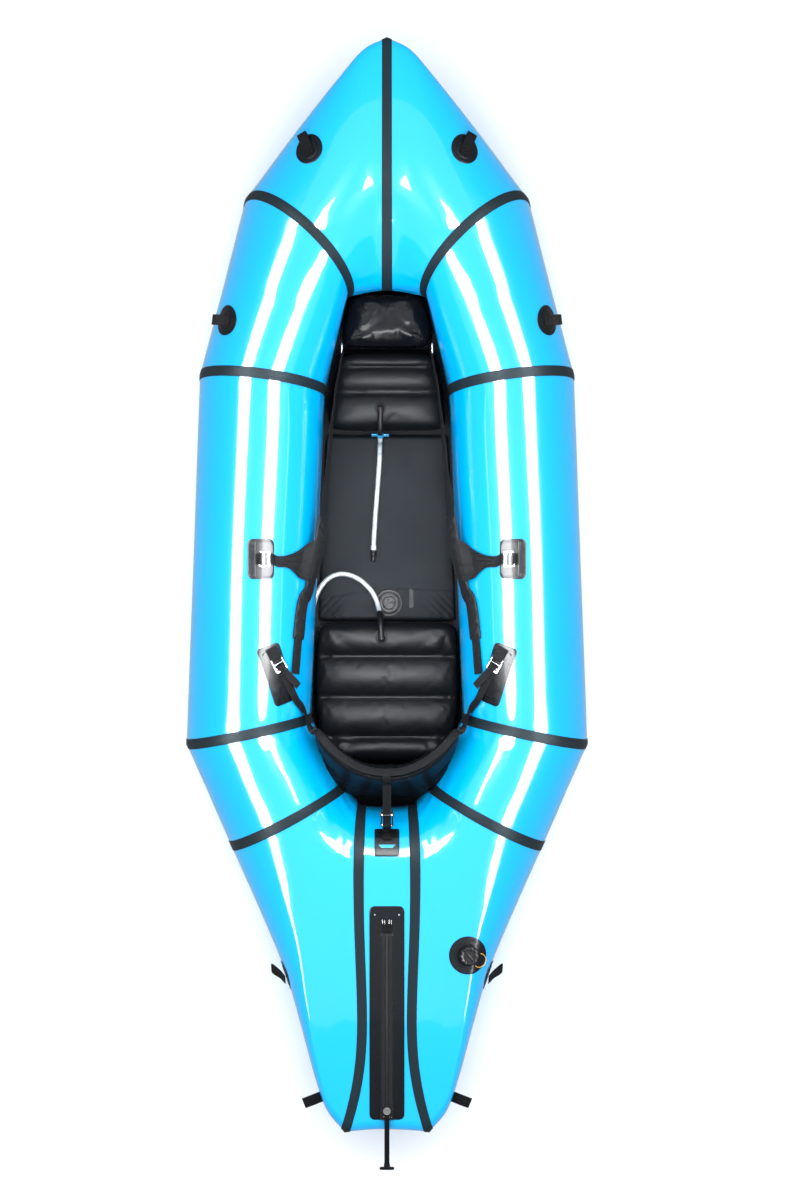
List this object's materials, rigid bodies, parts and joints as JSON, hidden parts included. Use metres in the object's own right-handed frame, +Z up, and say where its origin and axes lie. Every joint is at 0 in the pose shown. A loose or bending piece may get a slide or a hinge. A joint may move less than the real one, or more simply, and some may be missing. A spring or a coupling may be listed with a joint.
{
  "type": "packraft",
  "caption": "Inflatable solo packraft with a welded tube hull, stern cargo zipper, air valve, cockpit cushions, backrest and thigh straps.",
  "frame": {"origin": "under the middle of the hull, on the surface that the floor rests on", "axes": "+Y towards the bow, +X to the paddler's right, +Z up"},
  "size_m": [0.9226, 2.5858, 0.3601],
  "materials": {
    "coated_blue": "glossy coated fabric",
    "tape_black": "satin coated tape",
    "webbing_black": "woven webbing",
    "cushion_black": "satin coated fabric",
    "mat_grey": "matte coated fabric",
    "plastic_black": "moulded",
    "hose_clear": "translucent hose",
    "metal_light": "satin",
    "leash_orange": "thin cord"
  },
  "bodies": {
    "hull": {"backrest_strap_left": "webbing_black", "backrest_strap_right": "webbing_black", "bow_centre_tape": "tape_black", "bow_panel_left": "coated_blue", "bow_panel_right": "coated_blue", "bow_pillow": "cushion_black", "bow_shoulder_tape_left": "tape_black", "bow_shoulder_tape_right": "tape_black", "bow_tie_down_left": "tape_black", "bow_tie_down_right": "tape_black", "floor_mat": "mat_grey", "floor_sheet": "tape_black", "foot_hose": "hose_clear", "foot_rest": "cushion_black", "hip_panel_left": "coated_blue", "hip_panel_right": "coated_blue", "hip_patch_left": "tape_black", "hip_patch_right": "tape_black", "hip_tape_left": "tape_black", "hip_tape_right": "tape_black", "knee_hook_left": "metal_light", "knee_hook_right": "metal_light", "knee_patch_left": "tape_black", "knee_patch_right": "tape_black", "ladder_lock_left": "plastic_black", "ladder_lock_right": "plastic_black", "mat_valve": "plastic_black", "quarter_panel_left": "coated_blue", "quarter_panel_right": "coated_blue", "rear_buckle": "plastic_black", "rear_patch": "tape_black", "rear_strap": "webbing_black", "seat_cushion": "cushion_black", "seat_hose": "hose_clear", "shoulder_panel_left": "coated_blue", "shoulder_panel_right": "coated_blue", "shoulder_tape_left": "tape_black", "shoulder_tape_right": "tape_black", "shoulder_tie_down_left": "tape_black", "shoulder_tie_down_right": "tape_black", "side_panel_left": "coated_blue", "side_panel_right": "coated_blue", "side_tape_left": "tape_black", "side_tape_right": "tape_black", "stern_deck_panel": "coated_blue", "stern_tape_left": "tape_black", "stern_tape_right": "tape_black", "stern_tie_down_left": "tape_black", "stern_tie_down_right": "tape_black", "thigh_strap_left": "webbing_black", "thigh_strap_right": "webbing_black", "valve_base": "plastic_black", "valve_leash": "leash_orange", "zip_strip": "tape_black"},
    "zip_slider": {"zip_slider": "plastic_black"},
    "zip_pull": {"zip_pull": "webbing_black"},
    "backrest": {"backrest": "cushion_black"},
    "valve_cap": {"valve_cap": "plastic_black"},
    "foot_mouthpiece": {"foot_mouthpiece": "plastic_black"},
    "seat_mouthpiece": {"seat_mouthpiece": "plastic_black"}
  },
  "joints": [
    {"name": "zip_travel", "type": "slide", "parent": "hull", "child": "zip_slider", "axis": [0, 0.9983, 0.0577], "range_m": [0, 0.385]},
    {"name": "zip_pull_swing", "type": "hinge", "parent": "zip_slider", "child": "zip_pull", "pos_m": [0, -1.2119, 0.2726], "axis": [-1, 0, 0], "range_deg": [0, 160]},
    {"name": "backrest_fold", "type": "hinge", "parent": "hull", "child": "backrest", "pos_m": [0, -0.412, 0.096], "axis": [-1, 0, 0], "range_deg": [0, 30], "deforming": ["backrest_strap_left", "backrest_strap_right", "rear_strap"]},
    {"name": "valve_cap_turn", "type": "hinge", "parent": "hull", "child": "valve_cap", "pos_m": [0.185, -0.8425, 0.2733], "axis": [0.1163, -0.0609, 0.9913], "range_deg": [0, 80]},
    {"name": "foot_mouthpiece_slide", "type": "slide", "parent": "hull", "child": "foot_mouthpiece", "axis": [-0.0384, -0.9978, 0.0537], "range_m": [0, 0.004]},
    {"name": "seat_mouthpiece_slide", "type": "slide", "parent": "hull", "child": "seat_mouthpiece", "axis": [-0.0259, -0.9923, -0.1208], "range_m": [0, 0.004]}
  ]
}
